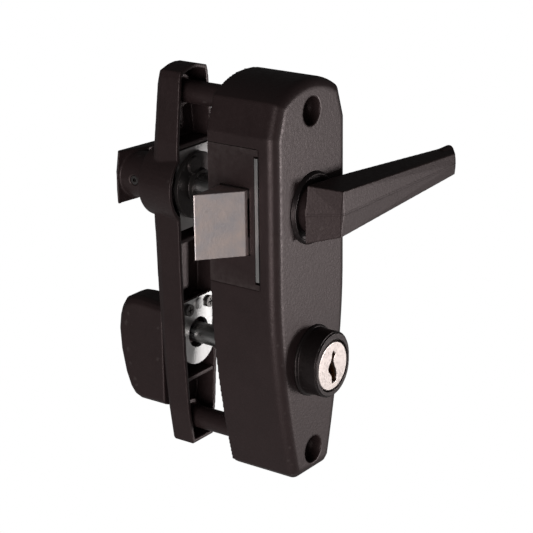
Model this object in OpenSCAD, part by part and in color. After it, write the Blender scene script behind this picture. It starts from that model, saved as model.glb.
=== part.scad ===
// Rim latch set for a thin door: a keyed case with a lever on one side, and a slim plate with
// a lever and a snib on the other. X runs across the door away from the latch edge, Y runs
// through the door from the keyed side to the snib side, and Z is up. The origin lies midway
// between the two fixing centres, on the face of the case that bears on the door.

/* [Case] */
// Half the width of the case
case_half_w = 15.65; // [15:0.05:17]
// Depth of the case, from the door to its front face
case_depth = 20.2; // [19.8:0.1:21]
// Height of the arched top at its middle, above the origin
case_top_z = 53.1; // [52:0.1:54]
// Height of the top corners
case_corner_z = 49.1; // [48:0.1:50]
// Half the width of the case between its top corners
case_corner_half_w = 13; // [12:0.1:13.5]
// Height at which the slanted shoulders reach the full width
case_shoulder_z = 40.9; // [38:0.1:42]
// Height of the flat bottom edge, below the origin
case_bottom_z = -51.4; // [-52:0.1:-50.5]
// How much each side has drawn in at the bottom
case_taper = 7.9; // [7:0.1:8]
// Thickness of the case's walls
case_wall = 2.2; // [2:0.1:2.3]
// Rounding of the front edge
case_edge_r = 2.8; // [1:0.1:3]

/* [Fixings] */
// Distance between the two fixing centres
fixing_spacing = 90; // [89:0.5:91]
// Thickness of the door between case and plate
door_gap = 16; // [15:0.5:18]
// Radius of the posts that cross the door
post_r = 3; // [2.8:0.1:3.1]
// Radius of a fixing screw's shank
screw_r = 2; // [1.8:0.1:2]
// Radius of the recess for a screw head in the case
counterbore_r = 3.6; // [3.5:0.05:4.1]

/* [Lever] */
// Height of the levers' axis above the origin
lever_z = 20.5; // [20:0.1:21]
// Reach of a lever's outer face from its axis
lever_reach = 54; // [45:1:60]
// Thickness of a lever's root, through the door
lever_thick = 7.2; // [6:0.1:7.4]
// Turn of the levers to full retraction, in degrees
lever_turn = 40; // [38:1:40]

/* [Latch] */
// Throw of the latch bolt beyond the case
bolt_throw = 11; // [10:0.1:11]
// Height of the latch bolt
bolt_h = 16.6; // [16:0.1:16.6]

/* [Key and snib] */
// Height of the key and snib axis, below the origin
key_z = -20.4; // [-21.5:0.1:-20.5]
// Radius of the key plug
plug_r = 6.5; // [6.4:0.05:6.5]
// Thickness of the snib, across the door
snib_thick = 10; // [9:0.5:10]

/* [Plate] */
// Depth of the snib side plate at its ends
plate_depth = 7.3; // [7:0.1:8]
// How much deeper the plate is at its middle
plate_bow = 1.5; // [0:0.1:1.6]
// Radius of the round boss at the foot
boss_r = 11.2; // [11:0.1:12]
// Radius of the round boss at its outer edge
boss_top_r = 9.7; // [9.6:0.1:10.5]

/* [Hidden] */

$fn = 64;
fit = 0.06;              // radial clearance of a turning fit
gap = 0.3;               // clearance between pieces that slide past each other
seat = 0.1;              // clearance between pieces that are assembled together
over = 1;                // how far a cut runs past the face it opens
case_black = [0.17, 0.15, 0.15];
steel = [0.72, 0.72, 0.74];
zinc = [0.78, 0.74, 0.72];
spring_steel = [0.55, 0.55, 0.57];

fixing_zs = [fixing_spacing / 2, -fixing_spacing / 2];
front_y = -case_depth;               // front face of the case
inner_front_y = front_y + case_wall; // inside of the front wall
back_thick = 1.5;                    // thickness of the back plate
chassis_y = [-15, -14];              // faces of the chassis plate
case_inner_x = case_half_w - case_wall;

// Case outline
taper_start_z = 0.5;
taper_power = 1.7;
taper_steps = 10;
arch_sag = case_top_z - case_corner_z;
arch_r = (pow(case_corner_half_w, 2) + pow(arch_sag, 2)) / (2 * arch_sag);
arch_half = asin(case_corner_half_w / arch_r);
arch_steps = 8;
bottom_corner_r = 1.6;

// Fixings and bosses
screw_boss_r = 5.2;
head_seat_y = -13;                   // seat of the fixing screw's head
head_r = 2.5;
recess_cone_y = [-17.6, -15.2];      // the recess narrows between these
post_end_y = -7;                     // end of the posts inside the case
socket_y = -8.5;                     // floor of the socket that takes a post
back_bosses = [[-10.6, 41.7], [10.6, 41.7], [-6.4, -36], [6.4, -36]];
back_boss_r = 2.4;
small_screw_r = 1;
small_head_r = 2;

// Latch bolt and its guide
guide_z = [lever_z - 18.4, lever_z + 17.55];
guide_front_y = -15.2;
guide_inner_x = -12.6;
bolt_z = [lever_z - 9.4, lever_z - 9.4 + bolt_h];
bolt_y = [-12.2, -3.9];
bolt_nose_flat = 1.3;
tail_layer = [-12.2, -9.2];          // the tail slides in front of the follower's arm
barrel_r = 4.6;
prong_z = barrel_r + gap;
head_back_x = -16;
stop_x = guide_inner_x + gap;
tail_end_x = 2.3;
spring_z = lever_z - 12;
spring_y = -10.8;

// Follower
arm_layer = [-8.6, -4.6];
arm_r = 16.1;
arm_tip_r = 1.6;
arm_rest = lever_turn / 2;           // lean of the arm away from upright, at rest
arm_tip = [-arm_r * sin(arm_rest), arm_r * cos(arm_rest)];
square_drive = 4.7;

// Lock slide and cam
crank_r = 5.3;
crank_pin_r = 1.1;
crank_side = crank_r * cos(45);
slide_layer = [-4.2, -2];
slide_rise = 2 * crank_r * sin(45);
cam_journal_r = 3.4;
cam_layer = [-6.2, -4.6];
pick_layer = [-8, -6.2];
lug_x = [-0.5, 1.9];                 // lug on the bolt's tail
tongue_x = [lug_x[1] + gap, lug_x[0] + bolt_throw - gap];
tongue_top_z = bolt_z[0] - 4.5;
tailbar_size = [1.6, 4.2];
shaft_r = 3.2;

// Cylinder
cyl_front_y = -26.4;
plug_back_y = -8.4;
collar_half_w = 7.7;
collar_ends = [-0.6, 1.3];           // heights of its two arcs' centres about the plug's axis
base_ring = [0.7, 0.7];              // how far the ring at its foot stands out round it and forward
clip_groove = 0.45;
pin_ys = [for (i = [0:3]) -16.9 + 2.3 * i];
pin_r = 0.9;
key_cuts = [1.4, 2.6, 1.9, 3.1];     // lowest point of each key pin above the axis

// Snib side plate
plate_y = [door_gap, door_gap + plate_depth];
plate_wall = 1.1;
plate_floor = 1.5;
plate_top_z = 52.3;
plate_bottom_z = -51.3;
boss_y = plate_y[1] + 4.7;
inner_neck_r = 6.2;
plate_steel_y = [16.6, 17.7];
steel_half_w = 6.5;
hub_neck_r = 5.9;
neck_start_y = 18;                   // door side end of the inner lever's neck
detent_screw_x = 4.3;
snib_clip_y = 21;

// Levers and snib
outer_lever_y = -22.5;
inner_lever_y = 36.9;
inner_lever_thick = 4.5;
snib_y = [plate_y[1] + 1.7, 41.1];
snib_up = 7.2;
snib_down = 22.2;
snib_shaft_r = 2.8;
snib_square = 3.9;

// ---------------------------------------------------------------- helpers

// Extrudes an outline drawn in X and Z from y0 to y1
module slab(y0, y1) {
    translate([0, y1, 0]) rotate([90, 0, 0]) linear_extrude(y1 - y0) children();
}

// A round bar along Y
module bar_y(r, y0, y1, x = 0, z = 0) {
    translate([x, y1, z]) rotate([90, 0, 0]) cylinder(r = r, h = y1 - y0);
}

// A round bar along X
module bar_x(r, x0, x1, y, z) {
    translate([x0, y, z]) rotate([0, 90, 0]) cylinder(r = r, h = x1 - x0);
}

// A ring along Y
module ring_y(r_out, r_in, y0, y1, x = 0, z = 0) {
    difference() {
        bar_y(r_out, y0, y1, x, z);
        bar_y(r_in, y0 - over, y1 + over, x, z);
    }
}

// A tapered bar along Y, from radius r0 at y0 to r1 at y1
module cone_y(r0, r1, y0, y1, x = 0, z = 0) {
    translate([x, y1, z]) rotate([90, 0, 0]) cylinder(r1 = r1, r2 = r0, h = y1 - y0);
}

// A block between two corners
module block(x, y, z) {
    translate([x[0], y[0], z[0]]) cube([x[1] - x[0], y[1] - y[0], z[1] - z[0]]);
}

// A square bar along Y
module square_y(side, y0, y1, z) {
    block([-side / 2, side / 2], [y0, y1], [z - side / 2, z + side / 2]);
}

// Drawn at the origin, turned about the Y axis and moved up to height z
module at_height(z) {
    translate([0, 0, z]) children();
}

// A screw along Y with its head at the low Y end, and a cross slot in the head
module small_screw(x, z, head_y, tip_y, head_r, head_h, shank_r) {
    difference() {
        union() {
            bar_y(head_r, head_y, head_y + head_h, x, z);
            bar_y(shank_r, head_y + head_h, tip_y, x, z);
        }
        for (turn = [0, 90])
            translate([x, head_y, z]) rotate([0, turn, 0])
                cube([head_r * 1.2, head_h, head_r * 0.28], center = true);
    }
}

// A round wire swept along points that wind about the direction axis
function unit(v) = v / norm(v);
function ring_at(p, dir, axis, r, sides) =
    let (side = unit(cross(dir, axis)), up = unit(cross(side, dir)))
    [for (i = [0:sides - 1]) p + r * (cos(360 * i / sides) * side + sin(360 * i / sides) * up)];

module wire(points, axis, r, sides = 8) {
    n = len(points);
    rings = [for (i = [0:n - 1])
        ring_at(points[i], unit(points[min(i + 1, n - 1)] - points[max(i - 1, 0)]), axis, r, sides)];
    walls = [for (i = [0:n - 2], j = [0:sides - 1])
        let (k = (j + 1) % sides)
        [i * sides + j, i * sides + k, (i + 1) * sides + k, (i + 1) * sides + j]];
    ends = [[for (j = [sides - 1:-1:0]) j], [for (j = [0:sides - 1]) (n - 1) * sides + j]];
    polyhedron([for (ring = rings) for (p = ring) p], concat(walls, ends), convexity = 6);
}

// Points of a coil about the Y axis
function coil_y(r, y0, y1, turns, from = 0, steps = 20) =
    [for (i = [0:steps * turns])
        let (a = from + 360 * i / steps)
        [r * cos(a), y0 + (y1 - y0) * i / (steps * turns), r * sin(a)]];

// ---------------------------------------------------------------- outlines

function case_half_at(z) = z > taper_start_z
    ? case_half_w
    : case_half_w - case_taper
        * pow((taper_start_z - z) / (taper_start_z - case_bottom_z), taper_power);

// Right half of the case outline from the middle of the arch to the bottom edge
function case_right() = concat(
    [for (i = [0:arch_steps])
        let (a = arch_half * i / arch_steps)
        [arch_r * sin(a), case_top_z - arch_r * (1 - cos(a))]],
    [[case_half_w, case_shoulder_z]],
    [for (i = [0:taper_steps])
        let (z = taper_start_z + (case_bottom_z + bottom_corner_r - taper_start_z) * i / taper_steps)
        [case_half_at(z), z]],
    [[case_half_at(case_bottom_z) - bottom_corner_r, case_bottom_z]]);

// A whole outline from its right half
function mirrored(half) = concat(half,
    [for (i = [len(half) - 1:-1:0]) if (half[i][0] > 0.001) [-half[i][0], half[i][1]]]);

// Moves every side of a clockwise convex outline inwards by the same distance
function inward(p, q) = let (d = unit(q - p)) [d[1], -d[0]];
function inset(pts, d) = let (n = len(pts))
    [for (i = [0:n - 1])
        let (n0 = inward(pts[(i + n - 1) % n], pts[i]), n1 = inward(pts[i], pts[(i + 1) % n]))
        pts[i] + d * (n0 + n1) / (1 + n0 * n1)];

module case_outline(d = 0) {
    polygon(inset(mirrored(case_right()), d));
}

// Right half of the snib side plate
plate_half = [[5.4, plate_top_z - 1.2], [5.9, plate_top_z - 3], [7.6, 33], [8.1, 20],
    [7.9, 0], [7.2, -24], [5.9, -42], [4.4, plate_bottom_z]];
plate_arch = [for (x = [0, 2, 4]) [x, plate_top_z - 0.05 * pow(x, 2)]];

module plate_outline(d = 0) {
    polygon(inset(mirrored(concat(plate_arch, plate_half)), d));
}

// ---------------------------------------------------------------- keyed side, fixed pieces

module case_shell() {
    edge_steps = 7;
    color(case_black) difference() {
        union() {
            difference() {
                hull() {
                    slab(front_y + case_edge_r, 0) case_outline();
                    for (i = [0:edge_steps - 1])
                        let (a = 90 * i / edge_steps)
                        slab(front_y + case_edge_r * (1 - cos(a)), front_y + case_edge_r)
                            case_outline(case_edge_r * (1 - sin(a)));
                }
                slab(inner_front_y, over) case_outline(case_wall);
            }
            for (z = fixing_zs)
                intersection() {
                    bar_y(screw_boss_r, inner_front_y - seat, -back_thick, 0, z);
                    slab(front_y, 0) case_outline(seat);
                }
            for (p = back_bosses)
                bar_y(back_boss_r, inner_front_y - seat, -back_thick, p[0], p[1]);
            for (p = chassis_screw_places)
                bar_y(back_boss_r, inner_front_y - seat, chassis_y[0], p[0], p[1]);
        }
        for (z = fixing_zs) {
            bar_y(counterbore_r, front_y - over, recess_cone_y[0], 0, z);
            cone_y(counterbore_r, head_r + seat, recess_cone_y[0], recess_cone_y[1], 0, z);
            bar_y(head_r + seat, recess_cone_y[0], head_seat_y, 0, z);
            bar_y(screw_r + 0.2, head_seat_y - over, socket_y + over, 0, z);
            bar_y(post_r + 0.2, socket_y, over, 0, z);
        }
        for (p = back_bosses)
            bar_y(small_screw_r + seat, -9, 0, p[0], p[1]);
        for (p = chassis_screw_places)
            bar_y(small_screw_r + seat, inner_front_y + 0.2, chassis_y[0] + over, p[0], p[1]);
        bar_y(bush_r + seat, front_y - over, inner_front_y + over, 0, lever_z);
        at_height(key_z) slab(front_y - over, inner_front_y + over) collar_outline(seat);
        block([-case_half_w - over, guide_inner_x - 0.1], [guide_front_y - seat, over],
            [guide_z[0], guide_z[1]]);
    }
}
chassis_screw_places = [[-9.4, 2.5 - 5], [9.4, 2.5 - 5], [10.4, lever_z + 12.5]];
bush_r = 7.4;

// Block in the latch edge that guides the bolt and holds the chassis plate's edge
module bolt_guide() {
    slit_z = [lever_z - 16.9, lever_z + 15.8];
    color(case_black) difference() {
        union() {
            block([-case_half_w, guide_inner_x], [guide_front_y, -back_thick - seat],
                [guide_z[0] + seat, guide_z[1] - seat]);
            block([-case_half_w, -case_inner_x - 0.1], [guide_front_y, 0],
                [guide_z[0] + seat, guide_z[1] - seat]);
        }
        block([-case_half_w - over, guide_inner_x + over], [bolt_y[0] - gap, bolt_y[1] + gap],
            [bolt_z[0] - gap, bolt_z[1] + gap]);
        block([-case_half_w - over, guide_inner_x + over], [guide_front_y - over, chassis_y[1] + seat],
            slit_z);
    }
}

// Steel plate behind the front wall that the follower turns in
module chassis_plate() {
    edge_z = [lever_z - 16.3, lever_z + 15.2];
    plate_z = [-6.5, lever_z + 17.6];
    color(steel) difference() {
        union() {
            block([-case_half_w + 0.1, 0], chassis_y, edge_z);
            block([guide_inner_x + seat, case_inner_x - 0.4], chassis_y, plate_z);
        }
        bar_y(barrel_r + fit, chassis_y[0] - over, chassis_y[1] + over, 0, lever_z);
        for (p = chassis_screw_places)
            bar_y(small_screw_r + 0.2, chassis_y[0] - over, chassis_y[1] + over, p[0], p[1]);
    }
}

module chassis_screws() {
    color(steel) for (p = chassis_screw_places)
        mirror([0, 1, 0])
            small_screw(p[0], p[1], -chassis_y[1] - 1.3, -inner_front_y - 0.4, small_head_r, 1.3,
                small_screw_r);
}

// Cover that closes the case against the door
module back_plate() {
    head_h = 0.9;
    color(steel) difference() {
        slab(-back_thick, 0) case_outline(case_wall + seat);
        bar_y(barrel_r + fit, -back_thick - over, over, 0, lever_z);
        bar_y(cam_journal_r + fit, -back_thick - over, over, 0, key_z);
        for (z = fixing_zs)
            bar_y(post_r + 0.3, -back_thick - over, over, 0, z);
        for (p = back_bosses) {
            bar_y(small_screw_r + 0.2, -back_thick - over, over, p[0], p[1]);
            bar_y(small_head_r + seat, -head_h, over, p[0], p[1]);
        }
        block([-case_half_w, -case_inner_x], [-back_thick - over, over],
            [guide_z[0] - seat, guide_z[1] + seat]);
    }
}

module back_plate_screws() {
    color(steel) for (p = back_bosses)
        mirror([0, 1, 0])
            small_screw(p[0], p[1], 0, 8, small_head_r, 0.9, small_screw_r);
}

// Ring in the front wall that the lever's neck turns in
module lever_bush() {
    flange_y = -21.2;
    flange_r = 9.3;
    lip_r = 8.75;
    lip_h = 0.15;
    recess_r = 8.3;
    recess_depth = 0.7;
    color(case_black) at_height(lever_z) difference() {
        union() {
            bar_y(flange_r, front_y - lip_h, front_y);
            cone_y(lip_r, flange_r, flange_y, front_y - lip_h);
            bar_y(bush_r, front_y, inner_front_y);
        }
        bar_y(neck_r + fit, flange_y - over, inner_front_y + over);
        bar_y(recess_r, flange_y - over, flange_y + recess_depth);
    }
}
neck_r = 6.4;

// Two long screws, sunk deep in the case, that pull the posts towards it
module fixing_screws() {
    head_h = 1.9;
    color(steel) for (z = fixing_zs)
        small_screw(0, z, head_seat_y - head_h, plate_y[0] - 2, head_r, head_h, screw_r - 0.05);
}

// ---------------------------------------------------------------- levers

// One lever, drawn with the door side of its root on the plane y = 0 and its outer face towards
// -Y. The root is root_h high each way and starts at door_x on the door side, at face_x outside.
// The door side stands out by belly further along.
module lever_handle(thick, root_h, door_x, face_x, belly) {
    tip_h = 3.4;
    tip_thick = 4.6;
    tip_r = 0.8;
    tip_bulge = 0.4;
    hook = 3;            // how far the tip's door side runs past its outer face
    hook_r = 1.2;
    lip_r = 1.3;
    lip_len = 4.2;
    lip_rise = 0.8;
    draft = 1.6;         // how much lower the outer face is than the door side
    crown = 0.35;        // rise of the outer face along its middle line
    skew = 0.5;          // how far the root's end leans
    bulge = 0.45;        // how far a ridge stands out along the middle of the root's end
    dot = 0.1;
    shoulder = [13, 6.2];
    tip_x = lever_reach - tip_r;
    hook_x = lever_reach + hook - hook_r;
    inner_tip_y = tip_thick - thick;
    face_h = root_h - draft;
    hull() {
        for (side = [-1, 1]) {
            translate([door_x + skew * side, 0, side * root_h]) cube(dot, center = true);
            translate([face_x + skew * side, -thick, side * face_h]) cube(dot, center = true);
            translate([shoulder[0] - 9, belly, side * (root_h - 0.5)]) cube(dot, center = true);
        }
        translate([door_x - bulge, -dot / 2, 0]) cube(dot, center = true);
        translate([face_x - bulge, -thick, 0]) cube(dot, center = true);
        // door side
        translate([shoulder[0], belly * 0.8 - dot, -shoulder[1]]) cube([dot, dot, 2 * shoulder[1]]);
        translate([hook_x, inner_tip_y - hook_r, -tip_h]) cylinder(r = hook_r, h = 2 * tip_h, $fn = 32);
        translate([hook_x + tip_bulge, inner_tip_y - hook_r, -1]) cylinder(r = hook_r, h = 2, $fn = 32);
        // outer face
        translate([tip_x, tip_r - thick, -tip_h + 0.5]) cylinder(r = tip_r, h = 2 * tip_h - 1, $fn = 32);
        translate([tip_x + tip_bulge, tip_r - thick, -1]) cylinder(r = tip_r, h = 2, $fn = 32);
        translate([face_x + 0.4, -thick - crown, -dot]) cube([tip_x - face_x - 1, dot, 2 * dot]);
    }
    // small rounded lip along the top of the tip
    hull() for (x = [hook_x - lip_len, hook_x - 0.2], z = [0, tip_h + lip_rise - lip_r])
        translate([x, inner_tip_y - lip_r, z]) sphere(r = lip_r, $fn = 24);
}

module outer_lever() {
    color(case_black) at_height(lever_z) difference() {
        union() {
            translate([0, outer_lever_y, 0]) lever_handle(lever_thick, 7.3, -5.9, -1, 0);
            bar_y(neck_r, outer_lever_y, chassis_y[0] - 0.2);
            bar_y(neck_r - 1.5, outer_lever_y - over, outer_lever_y + over);
        }
        square_y(square_drive + 2 * seat, -20.2, chassis_y[0] + over, 0);
        ring_y(neck_r + over, neck_r - 0.6, inner_front_y + seat, inner_front_y + 1);
    }
}

// Clip in the neck's groove, behind the front wall
module lever_clip() {
    color(spring_steel) at_height(lever_z) difference() {
        ring_y(8.3, neck_r - 0.55, inner_front_y + seat + 0.05, inner_front_y + 0.9);
        block([-2, 2], [inner_front_y, inner_front_y + 2], [-10, 0]);
    }
}

// Torsion spring about the lever's neck
module lever_spring() {
    wire_r = 0.34;
    coil_r = neck_r + 1;
    color(spring_steel) at_height(lever_z)
        wire(concat([[coil_r + 0.6, -16.4, -4]], coil_y(coil_r, -16.4, -15.5, 1.25)), [0, 1, 0], wire_r);
}

// Turns with the spindle and draws the bolt back with its arm
module follower() {
    color(zinc) at_height(lever_z) difference() {
        union() {
            bar_y(barrel_r, chassis_y[0] + seat, 0);
            slab(arm_layer[0], arm_layer[1]) hull() {
                circle(r = barrel_r - 0.4, $fn = 32);
                translate(arm_tip * 0.45) circle(r = 1.7, $fn = 24);
            }
            slab(arm_layer[0], arm_layer[1]) hull() {
                translate(arm_tip * 0.45) circle(r = 1.25, $fn = 24);
                translate(arm_tip) circle(r = 1.2, $fn = 24);
            }
            bar_y(arm_tip_r, arm_layer[0], arm_layer[1], arm_tip[0], arm_tip[1]);
        }
        square_y(square_drive, chassis_y[0], over, 0);
    }
}

// Square bar through both levers and the follower, round where it crosses the door
module spindle() {
    side = square_drive - 2 * seat;
    color(steel) at_height(lever_z) {
        square_y(side, -20, 0.4, 0);
        bar_y(shaft_r, 0.4, plate_steel_y[0]);
        square_y(side, plate_steel_y[0], inner_lever_y - 0.4, 0);
    }
}

// ---------------------------------------------------------------- latch bolt

// Outline of the bolt's head in X and Y, bevelled towards the front
bolt_nose_x = -case_half_w - bolt_throw;
bevel_foot_x = bolt_nose_x + (bolt_y[1] - bolt_y[0]) + bolt_nose_flat;
module latch_bolt() {
    color(zinc) difference() {
        union() {
            translate([0, 0, bolt_z[0]]) linear_extrude(bolt_h)
                polygon([[bolt_nose_x, bolt_y[1]], [bevel_foot_x, bolt_y[0]],
                    [head_back_x, bolt_y[0]], [head_back_x, bolt_y[1]]]);
            // prongs either side of the follower
            block([head_back_x - over, guide_inner_x], bolt_y, [lever_z + prong_z, bolt_z[1]]);
            block([head_back_x - over, -10], bolt_y, [bolt_z[0], lever_z - prong_z]);
            block([stop_x, tail_end_x], tail_layer, [lever_z + prong_z, lever_z + 9.5]);
            block([guide_inner_x - over, stop_x + over], tail_layer, [lever_z + prong_z, bolt_z[1]]);
            block([stop_x, tail_end_x], tail_layer, [bolt_z[0], lever_z - prong_z]);
            // post that the follower's arm pushes
            block([-3.75, -0.75], tail_layer, [lever_z + 9, lever_z + 18.3]);
            block([-3.75, -0.75], [tail_layer[0], arm_layer[1]], [lever_z + 14.6, lever_z + 18.3]);
            // lug that the lock slide stops
            block(lug_x, bolt_y, [bolt_z[0], lever_z - prong_z]);
            // tab that the spring pushes
            block([stop_x, stop_x + 2], tail_layer, [bolt_z[0] - 4.6, bolt_z[0] + over]);
        }
    }
}

module bolt_spring() {
    wire_r = 0.25;
    coil_r = 1.45;
    turns = 9;
    x0 = stop_x + 2 + wire_r + 0.05;
    x1 = case_inner_x - wire_r - 0.1;
    steps = 9;
    color(spring_steel)
        wire([for (i = [0:steps * turns])
            let (a = 360 * i / steps)
            [x0 + (x1 - x0) * i / (steps * turns), spring_y + coil_r * cos(a),
                spring_z + coil_r * sin(a)]], [1, 0, 0], wire_r, 6);
}

// ---------------------------------------------------------------- deadlock

// Rises behind the bolt's lug when the cam turns, or in front of it if the bolt has been drawn in
module lock_slide() {
    foot_x = [-9.2, 8.2];
    foot_z = [key_z - 12.6, key_z + 6.5];
    color(steel) difference() {
        union() {
            block(foot_x, slide_layer, foot_z);
            block(tongue_x, slide_layer, [foot_z[1] - over, tongue_top_z]);
            block(tongue_x, [pick_layer[0], slide_layer[1]], [tongue_top_z - 5, tongue_top_z]);
        }
        // window round the cam's journal, which leaves room for the rise
        block([-cam_journal_r - gap, cam_journal_r + gap], [slide_layer[0] - over, slide_layer[1] + over],
            [key_z - cam_journal_r - gap - slide_rise, key_z + cam_journal_r + gap]);
        // slot that the crank pin works in
        block([0, crank_r + crank_pin_r + gap], [slide_layer[0] - over, slide_layer[1] + over],
            [key_z - crank_side - crank_pin_r - gap, key_z - crank_side + crank_pin_r + gap]);
    }
}

// Sector of a ring between two angles, from +X towards +Z
module sector(r_in, r_out, from, to) {
    steps = 10;
    polygon(concat(
        [for (i = [0:steps]) let (a = from + (to - from) * i / steps) r_out * [cos(a), sin(a)]],
        [for (i = [steps:-1:0]) let (a = from + (to - from) * i / steps) r_in * [cos(a), sin(a)]]));
}

// Turned by the snib, or by the plug's dog when that reaches the lug
module lock_cam() {
    color(zinc) at_height(key_z) difference() {
        union() {
            bar_y(6.4, cam_layer[0], cam_layer[1]);
            slab(pick_layer[0], cam_layer[0] + seat) sector(2.4, 6.2, -150, -30);
            bar_y(cam_journal_r, cam_layer[1] - seat, 0);
            bar_y(crank_pin_r, cam_layer[1] - seat, slide_layer[1], crank_side, -crank_side);
        }
        slab(cam_layer[0] - over, over) square(tailbar_size + [2 * seat, 2 * seat], center = true);
    }
}

// Flat bar from the cam into the snib's hollow shaft
module tailbar() {
    color(steel) at_height(key_z)
        slab(cam_layer[0], 12) square(tailbar_size, center = true);
}

// ---------------------------------------------------------------- key cylinder

// Oval outline of the collar, about the plug's axis
module collar_outline(d = 0) {
    for (z = collar_ends)
        translate([0, z]) circle(r = collar_half_w + d);
    translate([-collar_half_w - d, collar_ends[0]])
        square([2 * (collar_half_w + d), collar_ends[1] - collar_ends[0]]);
}

module cylinder_body() {
    chamber_top = 12.2;
    rim = 0.4;
    ring_y = front_y - base_ring[1];
    groove_y = [inner_front_y + seat, inner_front_y + 1.3];
    color(case_black) at_height(key_z) difference() {
        union() {
            slab(cyl_front_y, plug_back_y + 0.2) collar_outline(-rim);
            slab(cyl_front_y + rim, plug_back_y + 0.2) collar_outline();
            slab(inner_front_y, plug_back_y + 0.2) translate([-3, 0]) square([6, chamber_top]);
            slab(ring_y, front_y) collar_outline(base_ring[0] - rim / 2);
            slab(ring_y + rim / 2, front_y) collar_outline(base_ring[0]);
        }
        bar_y(plug_r + fit, cyl_front_y - over, plug_back_y + over);
        bar_y(plug_r + gap, cyl_front_y - over, cyl_front_y + 2 * rim, 0, 0.1);
        for (y = pin_ys)
            translate([0, y, plug_r - over]) cylinder(r = pin_r + seat / 2, h = chamber_top, $fn = 24);
        block([collar_half_w - clip_groove, collar_half_w + over], groove_y, [-8, 4]);
        block([-collar_half_w - over, clip_groove - collar_half_w], groove_y, [-8, 4]);
    }
}

// Horseshoe clip that holds the cylinder body against the front wall
module cylinder_clip() {
    leg_x = collar_half_w - clip_groove + seat / 2;
    outer_x = 9.4;
    foot_z = -collar_half_w + collar_ends[0] - seat;
    color(spring_steel) at_height(key_z)
        slab(inner_front_y + 0.15, inner_front_y + 1.2) difference() {
            translate([-outer_x, -outer_x]) square([2 * outer_x, outer_x + 3.6]);
            translate([-leg_x, foot_z]) square([2 * leg_x, 2 * outer_x]);
        }
}

// Turning plug with its keyway, pin holes and a dog at the back
module cylinder_plug() {
    chamfer = 0.25;
    color(zinc) at_height(key_z) difference() {
        union() {
            cone_y(plug_r - chamfer, plug_r, cyl_front_y + seat, cyl_front_y + seat + chamfer);
            bar_y(plug_r, cyl_front_y + seat + chamfer, plug_back_y);
            slab(plug_back_y - seat, pick_layer[1] - gap) sector(2.6, 5.6, 72, 108);
        }
        slab(cyl_front_y, plug_back_y - 2) keyway_outline();
        for (i = [0:3])
            translate([0, pin_ys[i], 0]) cylinder(r = pin_r + seat / 2, h = plug_r + over, $fn = 24);
    }
}

// Winding slot for the key, about the plug's axis
module keyway_outline() {
    polygon([[0.25, 4], [-0.25, 3.3], [-0.35, 2.4], [-0.75, 1.5], [-1.5, 0.6], [-2, -0.3], [-1.9, -0.9],
        [-1.2, -1.7], [-0.6, -2.5], [-0.4, -3.4], [-0.35, -4.5], [0, -4.7], [1.4, -4.4], [1.7, -4],
        [1.8, -2.8], [1.5, -1.4], [0.8, -0.1], [0.5, 0.9], [0.5, 1.8], [0.8, 2.4], [1.3, 2.8], [1.2, 3.3],
        [0.8, 3.4], [0.7, 3.8]]);
}

// Lower pins, each as long as its key cut needs, cut off flush with the plug
module key_pins() {
    color("goldenrod") at_height(key_z) for (i = [0:3])
        translate([0, pin_ys[i], key_cuts[i]])
            cylinder(r = pin_r, h = plug_r - 0.2 - key_cuts[i], $fn = 24);
}

module driver_pins() {
    color("goldenrod") at_height(key_z) for (y = pin_ys)
        translate([0, y, plug_r + 0.15]) cylinder(r = pin_r, h = 2.6, $fn = 24);
}

module pin_springs() {
    wire_r = 0.16;
    coil_r = pin_r - wire_r - 0.05;
    z0 = plug_r + 2.75 + wire_r + 0.05;
    z1 = 11.9;
    turns = 4;
    steps = 8;
    color(spring_steel) at_height(key_z) for (y = pin_ys)
        wire([for (i = [0:steps * turns])
            let (a = 360 * i / steps)
            [coil_r * cos(a), y + coil_r * sin(a), z0 + (z1 - z0) * i / (steps * turns)]],
            [0, 0, 1], wire_r, 6);
}

// ---------------------------------------------------------------- snib side

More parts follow.
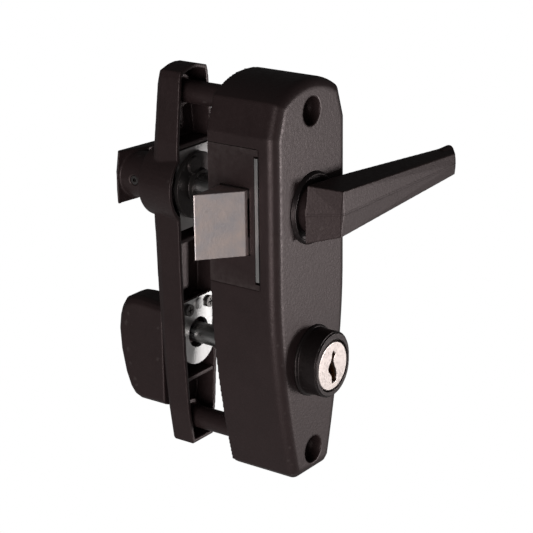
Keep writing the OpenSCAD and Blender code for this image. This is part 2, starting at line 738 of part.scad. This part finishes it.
module handle_plate() {
    rib_thick = 1.2;
    boss_rim = 0.4;
    spring_pocket_r = 8.6;
    pocket_y = plate_y[1] - plate_floor;
    // height, half width and share of the bow along the outer face
    bow_places = [[46, 5, 0.4], [22, 7.3, 0.95], [-5, 7, 0.6], [-30, 5.8, 0.3]];
    ribs = [lever_z + 10.6, lever_z - 14.6, key_z - 12.6];
    color(case_black) difference() {
        union() {
            difference() {
                union() {
                    hull() {
                        slab(plate_y[0], plate_y[1] - 1.2) plate_outline();
                        slab(plate_y[0], plate_y[1] - 0.4) plate_outline(0.4);
                        slab(plate_y[0], plate_y[1]) plate_outline(1.2);
                        for (b = bow_places)
                            block([-b[1], b[1]], [plate_y[0], plate_y[1] + b[2] * plate_bow],
                                [b[0] - 1, b[0] + 1]);
                    }
                    cone_y(boss_r, boss_top_r, plate_y[0], boss_y - boss_rim, 0, lever_z);
                    cone_y(boss_top_r, boss_top_r - boss_rim, boss_y - boss_rim, boss_y, 0, lever_z);
                }
                slab(plate_y[0] - over, pocket_y) plate_outline(plate_wall);
                cone_y(boss_r - plate_wall, boss_r - plate_wall - 0.9, plate_y[0] - 0.01, pocket_y, 0,
                    lever_z);
            }
            intersection() {
                union() {
                    for (z = ribs)
                        block([-9, 9], [plate_steel_y[0] - 0.3, plate_y[1] - 1], [z, z + rib_thick]);
                    for (z = fixing_zs)
                        bar_y(post_r + 1.3, plate_y[1] - 3.4, plate_y[1] - 1, 0, z);
                    // pads that the steel plates sit on
                    for (z = [lever_z + 9.6, lever_z - 10.4])
                        block([-6, 6], [plate_steel_y[1], plate_y[1] - 1], [z - 0.6, z + 0.6]);
                    for (x = [-detent_screw_x, detent_screw_x])
                        bar_y(1.9, plate_steel_y[1], plate_y[1] - 1, x, detent_screw_z);
                }
                slab(0, plate_y[1] + over) plate_outline(0.3);
            }
            for (z = fixing_zs)
                bar_y(post_r, post_end_y, plate_y[1] - 1, 0, z);
        }
        for (z = fixing_zs)
            bar_y(screw_r, post_end_y - over, plate_y[0] - 1, 0, z);
        bar_y(inner_neck_r + fit, plate_y[1] - 3, boss_y + over, 0, lever_z);
        bar_y(spring_pocket_r, pocket_y - over, boss_y - 1.6, 0, lever_z);
        bar_y(snib_neck_r + fit, plate_y[1] - 3, plate_y[1] + plate_bow + over, 0, key_z);
        for (x = [-detent_screw_x, detent_screw_x])
            bar_y(0.8 + seat, plate_steel_y[1] - over, plate_y[1] - 0.9, x, detent_screw_z);
    }
}
detent_screw_z = key_z + 7.5;
snib_neck_r = 4;

// Steel plate across the boss that keeps the inner lever's flange in
module retainer_plate() {
    color(steel) difference() {
        block([-steel_half_w, steel_half_w], plate_steel_y, [lever_z - 11.1, lever_z + 10.1]);
        bar_y(hub_neck_r + gap, plate_steel_y[0] - over, plate_steel_y[1] + over, 0, lever_z);
    }
}

// Dark hub on the spindle, with its disc in front of the retainer plate and a stop lobe on the disc
module spindle_hub() {
    disc_r = 8.8;
    disc_y = [15.3, plate_steel_y[0] - seat];
    lobe_r = 2.2;
    lobe_at = 6.3;
    lobe_front_y = 14.6;
    color([0.25, 0.24, 0.24]) at_height(lever_z) difference() {
        union() {
            bar_y(disc_r, disc_y[0], disc_y[1]);
            bar_y(hub_neck_r, disc_y[1] - over, neck_start_y - seat);
            bar_y(shaft_r + 1.2, 13.9, disc_y[0] + over);
            rotate([0, -arm_rest, 0])
                bar_y(lobe_r, lobe_front_y, disc_y[0] + over, 0, lobe_at);
        }
        bar_y(shaft_r + seat / 2, 12, plate_steel_y[0] + seat);
        square_y(square_drive, plate_steel_y[0], neck_start_y + over, 0);
    }
}

module inner_lever() {
    flange_r = 7.6;
    color(case_black) at_height(lever_z) difference() {
        union() {
            translate([0, inner_lever_y, 0]) mirror([0, 1, 0])
                lever_handle(inner_lever_thick, 7, -6.5, -1.5, 2.5);
            bar_y(inner_neck_r, neck_start_y, inner_lever_y);
            bar_y(inner_neck_r - 1.5, inner_lever_y - over, inner_lever_y + over);
            bar_y(flange_r, neck_start_y, neck_start_y + 1.4);
        }
        square_y(square_drive, 10, inner_lever_y - 0.3, 0);
        translate([-over, grub_y, 0]) rotate([0, -90, 0]) cylinder(r = 1.3, h = 10);
    }
}
grub_y = 32;

// Grub screw in the neck that grips the spindle
module lever_grub_screw() {
    head_x = 0.3 - inner_neck_r;
    color(spring_steel) at_height(lever_z) difference() {
        bar_x(1.2, head_x, seat - square_drive / 2, grub_y, 0);
        bar_x(0.6, head_x - over, head_x + 1.2, grub_y, 0, $fn = 6);
    }
}

// Torsion spring in the boss, round the inner lever's neck
module inner_lever_spring() {
    wire_r = 0.45;
    coil_r = 7.3;
    color(spring_steel) at_height(lever_z)
        wire(concat([[coil_r + 0.5, 21.5, -3]], coil_y(coil_r, 21.5, 24.9, 2.5)),
            [0, 1, 0], wire_r);
}

// Tongue shaped steel plate round the snib's shaft
module detent_plate() {
    end_r = 7.6;
    end_z = key_z - 1.2;
    top_z = key_z + 9.8;
    hole_r = 4.2;
    moon_r = 1.5;
    color(steel) difference() {
        union() {
            slab(plate_steel_y[0], plate_steel_y[1]) intersection() {
                plate_outline(plate_wall + seat);
                union() {
                    translate([0, end_z]) circle(r = end_r);
                    translate([-end_r, end_z]) square([2 * end_r, top_z - end_z]);
                }
                translate([-steel_half_w, end_z - end_r]) square([2 * steel_half_w, top_z - end_z + end_r]);
            }
            // pressed half moon between the screws
            bar_y(moon_r, plate_steel_y[0] - 0.35, plate_steel_y[0] + 0.3, 0.4, detent_screw_z + 0.5);
        }
        bar_y(hole_r, plate_steel_y[0] - over, plate_steel_y[1] + over, 0, key_z);
        for (x = [-detent_screw_x, detent_screw_x])
            bar_y(1, plate_steel_y[0] - over, plate_steel_y[1] + over, x, detent_screw_z);
    }
}

module detent_screws() {
    color(spring_steel) for (x = [-detent_screw_x, detent_screw_x])
        small_screw(x, detent_screw_z, plate_steel_y[0] - 0.9, plate_y[1] - 1, 1.6, 0.9, 0.8);
}

// Hollow shaft from the snib across the door
module snib_shaft() {
    color(steel) at_height(key_z) difference() {
        union() {
            bar_y(snib_shaft_r, 0.4, snib_y[0] - 0.5);
            square_y(snib_square - 2 * seat, snib_y[0] - 0.6, snib_y[0] + 7, 0);
        }
        slab(0, 14) square(tailbar_size + [2 * seat, 2 * seat], center = true);
    }
}

// Open ring clipped in the snib's neck, against the inside of the handle plate
module snib_circlip() {
    color(spring_steel) at_height(key_z) difference() {
        ring_y(snib_neck_r + 1.5, snib_neck_r - 0.5, snib_clip_y, snib_clip_y + 0.7);
        block([-1.6, 1.6], [snib_clip_y - over, snib_clip_y + 2], [0, 6]);
    }
}

// Turn piece: a short rounded end above the shaft and a long tail below it, with rounded edges
module snib() {
    profile = [[snib_y[0], snib_up - 0.2], [snib_y[1] - 7.5, snib_up + 0.4],
        [snib_y[1] - 4.8, snib_up + 0.2], [snib_y[1] - 2.6, snib_up - 0.8],
        [snib_y[1] - 1.3, snib_up - 2.9], [snib_y[1] - 0.5, snib_up - 5.5], [snib_y[1], -2.3],
        [snib_y[1] - 0.4, -8.4], [snib_y[1] - 1.8, -15.2], [snib_y[1] - 3.4, -19.4],
        [snib_y[1] - 4.9, -21.3], [snib_y[1] - 7.1, -snib_down], [snib_y[0], -snib_down]];
    size = [snib_y[1] - snib_y[0], snib_up + snib_down];
    // half width of each layer, and how far its profile has drawn in
    layers = [[snib_thick / 2, 1.6], [snib_thick / 2 - 0.8, 0.6], [snib_thick / 2 - 2.2, 0]];
    color(case_black) at_height(key_z) difference() {
        union() {
            hull() for (layer = layers)
                rotate([90, 0, 90]) linear_extrude(2 * layer[0], center = true)
                    polygon([for (p = profile)
                        [snib_y[0] + (p[0] - snib_y[0]) * (1 - layer[1] / size[0]),
                            (snib_up - snib_down) / 2
                                + (p[1] - (snib_up - snib_down) / 2) * (1 - 2 * layer[1] / size[1])]]);
            bar_y(snib_neck_r, neck_start_y + 1, snib_y[0] + 1);
        }
        ring_y(snib_neck_r + over, snib_neck_r - 0.55, snib_clip_y - seat, snib_clip_y + 0.8);
        bar_y(snib_shaft_r + seat / 2, 15, snib_y[0] - 0.4);
        square_y(snib_square, 15, snib_y[0] + 7.1, 0);
    }
}

case_shell();
bolt_guide();
chassis_plate();
chassis_screws();
back_plate();
back_plate_screws();
lever_bush();
fixing_screws();
outer_lever();
lever_clip();
lever_spring();
follower();
spindle();
latch_bolt();
bolt_spring();
lock_slide();
lock_cam();
tailbar();
cylinder_body();
cylinder_plug();
key_pins();
driver_pins();
pin_springs();
cylinder_clip();
handle_plate();
retainer_plate();
spindle_hub();
inner_lever();
inner_lever_spring();
lever_grub_screw();
detent_plate();
detent_screws();
snib_shaft();
snib_circlip();
snib();
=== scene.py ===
"""Looks of a rim latch set for a thin door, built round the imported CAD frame. Lengths are in
metres, apart from names that end in _mm."""

import math

import bpy
import numpy as np
from mathutils import Matrix, Vector


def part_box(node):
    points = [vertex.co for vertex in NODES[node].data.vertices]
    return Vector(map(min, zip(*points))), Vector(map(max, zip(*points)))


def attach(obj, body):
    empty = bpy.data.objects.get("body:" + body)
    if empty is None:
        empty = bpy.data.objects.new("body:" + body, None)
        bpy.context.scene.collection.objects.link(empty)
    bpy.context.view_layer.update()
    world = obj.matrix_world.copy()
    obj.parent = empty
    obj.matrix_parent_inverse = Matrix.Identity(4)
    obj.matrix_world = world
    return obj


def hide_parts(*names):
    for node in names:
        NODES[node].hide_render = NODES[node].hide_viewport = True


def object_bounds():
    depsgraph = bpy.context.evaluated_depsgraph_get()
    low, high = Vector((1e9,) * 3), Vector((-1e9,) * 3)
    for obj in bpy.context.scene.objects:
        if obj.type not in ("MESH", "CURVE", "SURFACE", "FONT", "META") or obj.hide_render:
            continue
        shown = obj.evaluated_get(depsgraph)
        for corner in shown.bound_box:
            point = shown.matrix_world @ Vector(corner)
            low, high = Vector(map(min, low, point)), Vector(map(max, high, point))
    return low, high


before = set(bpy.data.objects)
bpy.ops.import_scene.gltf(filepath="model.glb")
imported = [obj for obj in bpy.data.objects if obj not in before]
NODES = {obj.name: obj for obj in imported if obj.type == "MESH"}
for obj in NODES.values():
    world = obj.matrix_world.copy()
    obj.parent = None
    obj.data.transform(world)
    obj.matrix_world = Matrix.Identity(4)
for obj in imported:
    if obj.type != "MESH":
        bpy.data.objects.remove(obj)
cad_lo, cad_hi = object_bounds()
MM = 0.001


# ---------------------------------------------------------------- shader nodes


def shader(name, colour, roughness, metallic=0.0, **sockets):
    """A Principled material, its node tree and its main node."""
    material = bpy.data.materials.new(name)
    material.use_nodes = True
    tree = material.node_tree
    main = tree.nodes["Principled BSDF"]
    main.inputs["Base Color"].default_value = (*colour, 1)
    main.inputs["Roughness"].default_value = roughness
    main.inputs["Metallic"].default_value = metallic
    for socket, value in sockets.items():
        main.inputs[socket.replace("_", " ")].default_value = value
    return material, tree, main


NOISE_ROUGHNESS = 0.55
# Most of a noise's values lie in this range
NOISE_RANGE = (0.3, 0.7)


def noise(tree, scale, detail, stretch=(1, 1, 1)):
    """A noise texture in object space; scale is features per metre."""
    coords = tree.nodes.new("ShaderNodeTexCoord")
    mapping = tree.nodes.new("ShaderNodeMapping")
    mapping.inputs["Scale"].default_value = stretch
    texture = tree.nodes.new("ShaderNodeTexNoise")
    texture.inputs["Scale"].default_value = scale
    texture.inputs["Detail"].default_value = detail
    texture.inputs["Roughness"].default_value = NOISE_ROUGHNESS
    tree.links.new(coords.outputs["Object"], mapping.inputs["Vector"])
    tree.links.new(mapping.outputs["Vector"], texture.inputs["Vector"])
    return texture.outputs["Fac"]


def spread(tree, value, low, high, out_low, out_high):
    """Maps value from one range to another."""
    node = tree.nodes.new("ShaderNodeMapRange")
    names = ("From Min", "From Max", "To Min", "To Max")
    for socket, number in zip(names, (low, high, out_low, out_high)):
        node.inputs[socket].default_value = number
    tree.links.new(value, node.inputs["Value"])
    return node.outputs["Result"]


def blend_colours(tree, factor, first, second):
    """Mixes two colours, each given as a tuple or as a node's output."""
    node = tree.nodes.new("ShaderNodeMix")
    node.data_type = "RGBA"
    colour_in = [s for s in node.inputs if s.type == "RGBA"]
    colour_out = next(s for s in node.outputs if s.type == "RGBA")
    for socket, colour in zip(colour_in, (first, second)):
        if isinstance(colour, tuple):
            socket.default_value = (*colour, 1)
        else:
            tree.links.new(colour, socket)
    tree.links.new(factor, node.inputs["Factor"])
    return colour_out


def add_bump(tree, main, height, depth, normal=None):
    node = tree.nodes.new("ShaderNodeBump")
    node.inputs["Distance"].default_value = depth
    node.inputs["Strength"].default_value = 1.0
    tree.links.new(height, node.inputs["Height"])
    if normal is not None:
        tree.links.new(normal, node.inputs["Normal"])
    tree.links.new(node.outputs["Normal"], main.inputs["Normal"])
    return node.outputs["Normal"]


# Pointiness is 0.5 on a flat face and higher on an outward edge
EDGE_RANGE = (0.53, 0.62)


def edge_mask(tree):
    """Near 1 on outward edges, where a coating wears."""
    geometry = tree.nodes.new("ShaderNodeNewGeometry")
    return spread(tree, geometry.outputs["Pointiness"], *EDGE_RANGE, 0, 1)


# ---------------------------------------------------------------- materials

# The coating's gloss is slightly brown
GLOSS_TINT = (1.0, 0.8, 0.79)
SHADE = 0.82

# Features per metre of the coating's clouds, rubbed marks, gloss, orange peel and grain
CLOUDS, RUBS, GLOSS, PEEL, GRAIN = 120, 700, 900, 1500, 5200
PEEL_DEPTH = 0.00003
GRAIN_DEPTH = 0.000012
GLOSS_SPREAD = 0.07
RUB_RANGE = (0.35, 0.65)
RUB_STRENGTH = (0.25, 0.9)


def powder_coat(name, colour, worn, roughness):
    """A coating that is clouded, rubbed to the colour worn on its edges, and finely pebbled."""
    material, tree, main = shader(name, colour, roughness, Specular_Tint=(*GLOSS_TINT, 1))
    shade = tuple(SHADE * c for c in colour)
    cloud = spread(tree, noise(tree, CLOUDS, 4), *NOISE_RANGE, 0, 1)
    body = blend_colours(tree, cloud, shade, colour)
    rubbed = tree.nodes.new("ShaderNodeMath")
    rubbed.operation = "MULTIPLY"
    tree.links.new(edge_mask(tree), rubbed.inputs[0])
    tree.links.new(spread(tree, noise(tree, RUBS, 2), *RUB_RANGE, *RUB_STRENGTH), rubbed.inputs[1])
    tree.links.new(blend_colours(tree, rubbed.outputs[0], body, worn), main.inputs["Base Color"])
    smoother, rougher = roughness - GLOSS_SPREAD, roughness + GLOSS_SPREAD
    gloss = spread(tree, noise(tree, GLOSS, 3), *NOISE_RANGE, smoother, rougher)
    tree.links.new(gloss, main.inputs["Roughness"])
    peel = add_bump(tree, main, noise(tree, PEEL, 1), PEEL_DEPTH)
    add_bump(tree, main, noise(tree, GRAIN, 2), GRAIN_DEPTH, normal=peel)
    return material


METAL_RANGE = (0.25, 0.75)
METAL_SPREAD = (-0.08, 0.1)


def satin_metal(name, colour, tint, roughness, grain, grain_depth, stretch=(1, 1, 1), blotch=150):
    """A bare metal, blotched between two colours; grain and blotch are features per metre."""
    material, tree, main = shader(name, colour, roughness, metallic=1.0)
    cloud = spread(tree, noise(tree, blotch, 4), *NOISE_RANGE, 0, 1)
    tree.links.new(blend_colours(tree, cloud, colour, tint), main.inputs["Base Color"])
    fine = noise(tree, grain, 3, stretch)
    smoother, rougher = (roughness + change for change in METAL_SPREAD)
    dulled = spread(tree, fine, *METAL_RANGE, smoother, rougher)
    tree.links.new(dulled, main.inputs["Roughness"])
    add_bump(tree, main, fine, grain_depth)
    return material


COAT = powder_coat("powder_coat", (0.036, 0.0225, 0.0225), (0.07, 0.054, 0.052), 0.4)
COLLAR = powder_coat("cylinder_coat", (0.012, 0.0095, 0.0095), (0.05, 0.044, 0.043), 0.36)
HUB = powder_coat("phosphate", (0.022, 0.02, 0.019), (0.12, 0.11, 0.105), 0.34)
BOLT = satin_metal("bolt_zinc", (0.95, 0.78, 0.72), (0.76, 0.69, 0.7), 0.42, 2600, 0.00002, blotch=240)
PLUG = satin_metal("plug_nickel", (0.76, 0.66, 0.62), (0.69, 0.6, 0.57), 0.33, 1800, 0.000006)
STEEL = satin_metal("plated_steel", (0.72, 0.7, 0.69), (0.6, 0.58, 0.57), 0.34, 1500, 0.000006, (1, 1, 0.15))
SHAFT = satin_metal("turned_steel", (0.62, 0.61, 0.6), (0.5, 0.49, 0.48), 0.3, 1500, 0.000006, (1, 0.1, 1))
SPRING = satin_metal("spring_steel", (0.55, 0.54, 0.54), (0.42, 0.41, 0.41), 0.28, 3000, 0.000004)
BRASS = satin_metal("pin_brass", (0.78, 0.56, 0.27), (0.62, 0.42, 0.18), 0.3, 2500, 0.000005)
DARK_STEEL = satin_metal("dark_steel", (0.2, 0.185, 0.18), (0.12, 0.11, 0.105), 0.36, 2400, 0.000008)
CAST = satin_metal("cast_zinc", (0.6, 0.57, 0.56), (0.48, 0.455, 0.45), 0.45, 2000, 0.000012)

# Depths behind the front at which the plating starts to thin and has gone
PLATING_REACH = (0.0004, 0.0009)
BARE_BRASS = (0.62, 0.37, 0.17)


def brass_inside(material, front_y):
    """Lets the metal turn brown and brassy behind its plated front, as in a keyway."""
    tree = material.node_tree
    main = tree.nodes["Principled BSDF"]
    plated = main.inputs["Base Color"].links[0].from_socket
    coords = tree.nodes.new("ShaderNodeTexCoord")
    split = tree.nodes.new("ShaderNodeSeparateXYZ")
    tree.links.new(coords.outputs["Object"], split.inputs["Vector"])
    start, end = (front_y + reach for reach in PLATING_REACH)
    depth = spread(tree, split.outputs["Y"], start, end, 0, 1)
    tree.links.new(blend_colours(tree, depth, plated, BARE_BRASS), main.inputs["Base Color"])


brass_inside(PLUG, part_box("cylinder_plug")[0].y)


def dress(obj, material):
    obj.data.materials.clear()
    obj.data.materials.append(material)


# ---------------------------------------------------------------- mesh tools


def settle(obj):
    """Applies the object's modifiers to its mesh."""
    bpy.context.view_layer.update()
    graph = bpy.context.evaluated_depsgraph_get()
    mesh = bpy.data.meshes.new_from_object(obj.evaluated_get(graph))
    obj.modifiers.clear()
    obj.data = mesh


SHARP_ANGLE = math.radians(35)
BEVEL_ANGLE = math.radians(30)
edge_mm = 0.12


def round_edges(obj):
    """Smooth shading with finely rounded edges."""
    obj.data.shade_smooth()
    obj.data.set_sharp_from_angle(angle=SHARP_ANGLE)
    modifier = obj.modifiers.new("edges", "BEVEL")
    modifier.width = edge_mm * MM
    modifier.segments = 2
    modifier.limit_method = "ANGLE"
    modifier.angle_limit = BEVEL_ANGLE
    modifier.harden_normals = True


# Each round pulls a vertex towards its neighbours' mean, then pushes it back almost as far
PULL_AND_PUSH = (0.5, -0.49)


def soften(obj, rounds):
    """Taubin smoothing, which rounds edges and nearly keeps the volume."""
    mesh = obj.data
    count = len(mesh.vertices)
    co = np.empty(count * 3)
    mesh.vertices.foreach_get("co", co)
    co = co.reshape(-1, 3)
    edges = np.empty(len(mesh.edges) * 2, np.int64)
    mesh.edges.foreach_get("vertices", edges)
    a, b = edges.reshape(-1, 2).T
    degree = np.bincount(a, minlength=count) + np.bincount(b, minlength=count)
    for _ in range(rounds):
        for factor in PULL_AND_PUSH:
            axes = [np.bincount(a, co[b, k], count) + np.bincount(b, co[a, k], count) for k in range(3)]
            co = co + factor * (np.stack(axes, 1) / degree[:, None] - co)
    mesh.vertices.foreach_set("co", co.ravel())
    mesh.update()


def cast_from(node, name, voxel_mm, rounds, share, shape):
    """A casting with softened edges, made from the CAD node's solid: a voxel skin, smoothed, then shaped
    by shape(points in mm, normals) if there is one, then thinned to a share of its faces."""
    obj = bpy.data.objects.new(name, NODES[node].data.copy())
    bpy.context.scene.collection.objects.link(obj)
    modifier = obj.modifiers.new("skin", "REMESH")
    modifier.mode = "VOXEL"
    modifier.voxel_size = voxel_mm * MM
    settle(obj)
    soften(obj, rounds)
    if shape is not None:
        co = np.empty(len(obj.data.vertices) * 3)
        normals = np.empty(len(obj.data.vertices) * 3)
        obj.data.vertices.foreach_get("co", co)
        obj.data.vertices.foreach_get("normal", normals)
        moved_mm = shape(co.reshape(-1, 3) / MM, normals.reshape(-1, 3))
        obj.data.vertices.foreach_set("co", (moved_mm * MM).ravel())
    modifier = obj.modifiers.new("thin", "DECIMATE")
    modifier.ratio = share
    settle(obj)
    obj.data.shade_smooth()
    return obj


def place(obj, body, slot, material, *nodes):
    dress(obj, material)
    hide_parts(*nodes)
    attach(obj, body)


# ---------------------------------------------------------------- pieces

spindle_lo, spindle_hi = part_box("spindle")
lever_z_mm = (spindle_lo.z + spindle_hi.z) / 2 / MM
handle_depth_mm = 8.0
line_height_mm = 0.05
line_width_mm = 0.2


def mould_line(points_mm, normals):
    """Raises the thin line that the halves of the mould leave at a lever's middle height."""
    ends_mm = points_mm[:, 1].min(), points_mm[:, 1].max()
    outer_end_mm = max(ends_mm, key=abs)
    on_handle = np.abs(points_mm[:, 1] - outer_end_mm) < handle_depth_mm
    across = (points_mm[:, 2] - lever_z_mm) / line_width_mm
    height_mm = line_height_mm * np.exp(-across**2) * on_handle
    return points_mm + height_mm[:, None] * normals


# CAD node, piece, voxel in mm, smoothing rounds, share of faces, shape, body, slot, material
CASTINGS = (
    ("case_shell", "case", 0.3, 5, 0.5, None, "lock_frame", "coated_black", COAT),
    ("outer_lever", "outer_lever_casting", 0.17, 5, 0.5, mould_line, "levers", "coated_black", COAT),
    ("inner_lever", "inner_lever_casting", 0.25, 24, 0.7, mould_line, "levers", "coated_black", COAT),
    ("handle_plate", "handle_plate_casting", 0.24, 4, 0.5, None, "lock_frame", "coated_black", COAT),
    ("snib", "snib_casting", 0.24, 30, 0.7, None, "snib", "coated_black", COAT),
    ("lever_bush", "lever_ring", 0.12, 4, 0.5, None, "lock_frame", "coated_black", COLLAR),
    ("cylinder_body", "cylinder_collar", 0.13, 4, 0.5, None, "lock_frame", "coated_black", COLLAR),
    ("latch_bolt", "bolt_casting", 0.15, 4, 0.5, None, "bolt", "bolt_metal", BOLT),
    ("cylinder_plug", "key_plug", 0.09, 3, 0.4, None, "plug", "plug_metal", PLUG),
    ("spindle_hub", "lever_hub", 0.12, 3, 0.5, None, "levers", "hub_dark", HUB),
)
for node, piece, voxel_mm, rounds, share, shape, body, slot, material in CASTINGS:
    place(cast_from(node, piece, voxel_mm, rounds, share, shape), body, slot, material, node)

# CAD nodes that keep their own mesh and get a material and finely rounded edges
KEPT = {
    "bolt_guide": COAT, "chassis_plate": STEEL, "chassis_screws": STEEL, "back_plate": STEEL,
    "back_plate_screws": STEEL, "fixing_screws": HUB, "lever_clip": SPRING, "lever_spring": SPRING,
    "follower": CAST, "spindle": SHAFT, "bolt_spring": SPRING, "lock_slide": STEEL, "lock_cam": CAST,
    "tailbar": STEEL, "key_pins": BRASS, "driver_pins": BRASS, "pin_springs": SPRING,
    "cylinder_clip": SPRING, "retainer_plate": CAST, "inner_lever_spring": SPRING,
    "lever_grub_screw": DARK_STEEL, "detent_plate": STEEL, "detent_screws": DARK_STEEL,
    "snib_shaft": SHAFT, "snib_circlip": SPRING,
}
for node, material in KEPT.items():
    dress(NODES[node], material)
    round_edges(NODES[node])


# ---------------------------------------------------------------- stage, lights and camera


def panel(name, place_at, size, power):
    """A rectangular light that faces the origin."""
    light = bpy.data.lights.new(name, "AREA")
    light.shape = "RECTANGLE"
    light.size, light.size_y = size
    light.energy = power
    obj = bpy.data.objects.new(name, light)
    bpy.context.scene.collection.objects.link(obj)
    obj.location = place_at
    obj.rotation_euler = (-Vector(place_at)).to_track_quat("-Z", "Y").to_euler()


# The floor lies far enough below the latch to keep clear of the low panels
FLOOR_DROP = 0.42
FLOOR_REACH = 3.0
FLOOR_GREY = (0.35, 0.35, 0.35)
FLOOR_GLOW = 0.14
FLOOR_ROUGHNESS = (0.86, 0.94)
floor_z = cad_lo.z - FLOOR_DROP
corners = [(FLOOR_REACH * x, FLOOR_REACH * y, floor_z) for x, y in ((-1, -1), (1, -1), (1, 1), (-1, 1))]
floor_mesh = bpy.data.meshes.new("floor")
floor_mesh.from_pydata(corners, [], [(0, 1, 2, 3)])
floor = bpy.data.objects.new("floor", floor_mesh)
bpy.context.scene.collection.objects.link(floor)
floor_material, floor_tree, floor_main = shader("floor_paper", FLOOR_GREY, FLOOR_ROUGHNESS[0])
paper_gloss = spread(floor_tree, noise(floor_tree, 60, 2), *NOISE_RANGE, *FLOOR_ROUGHNESS)
floor_tree.links.new(paper_gloss, floor_main.inputs["Roughness"])
floor_main.inputs["Emission Color"].default_value = (1, 1, 1, 1)
floor_main.inputs["Emission Strength"].default_value = FLOOR_GLOW
dress(floor, floor_material)


def white_to_camera(tree, lit, glow_type, output):
    """The camera sees plain white, and everything else is lit by the shader lit."""
    glow = tree.nodes.new(glow_type)
    glow.inputs["Color"].default_value = (1, 1, 1, 1)
    glow.inputs["Strength"].default_value = 1.0
    chooser = tree.nodes.new("ShaderNodeMixShader")
    tree.links.new(tree.nodes.new("ShaderNodeLightPath").outputs["Is Camera Ray"], chooser.inputs["Fac"])
    tree.links.new(lit, chooser.inputs[1])
    tree.links.new(glow.outputs[0], chooser.inputs[2])
    tree.links.new(chooser.outputs["Shader"], tree.nodes[output].inputs["Surface"])


# A dim room, so that upward faces stay dark
ROOM_STRENGTH = 0.04
world = bpy.data.worlds.new("studio")
world.use_nodes = True
room = world.node_tree.nodes["Background"]
room.inputs["Color"].default_value = (1, 1, 1, 1)
room.inputs["Strength"].default_value = ROOM_STRENGTH
white_to_camera(world.node_tree, room.outputs["Background"], "ShaderNodeBackground", "World Output")
white_to_camera(floor_tree, floor_main.outputs["BSDF"], "ShaderNodeEmission", "Material Output")
bpy.context.scene.world = world
panel("key", (0.73, -0.95, -0.26), (0.2, 0.2), 4.4)
panel("front_soft", (-0.25, -1.1, 0.0), (0.7, 0.5), 0.3)
panel("left_fill", (-1.0, -0.3, -0.1), (0.5, 0.6), 4.6)

# The camera stands to the left of the keyed side and a little above it
AZIMUTH, ELEVATION, ROLL = (math.radians(a) for a in (-53.92, 19.11, -0.74))
DISTANCE, TARGET = 0.4716, Vector((0.0082, 0, -0.0012))
lens_mm, sensor_mm = 122.1, 36.0
back = Vector((math.sin(AZIMUTH) * math.cos(ELEVATION), -math.cos(AZIMUTH) * math.cos(ELEVATION),
               math.sin(ELEVATION)))
camera = bpy.data.objects.new("camera", bpy.data.cameras.new("camera"))
bpy.context.scene.collection.objects.link(camera)
camera.data.lens = lens_mm
camera.data.sensor_width = sensor_mm
camera.data.clip_start, camera.data.clip_end = 0.02, 20
camera.location = TARGET + back * DISTANCE
camera.rotation_mode = "QUATERNION"
side = Vector((math.cos(AZIMUTH), math.sin(AZIMUTH), 0))
up = back.cross(side)
rolled_side = math.cos(ROLL) * side + math.sin(ROLL) * up
rolled_up = back.cross(rolled_side)
camera.rotation_quaternion = Matrix((rolled_side, rolled_up, back)).transposed().to_quaternion()
bpy.context.scene.camera = camera
bpy.context.scene.view_settings.view_transform = "Standard"
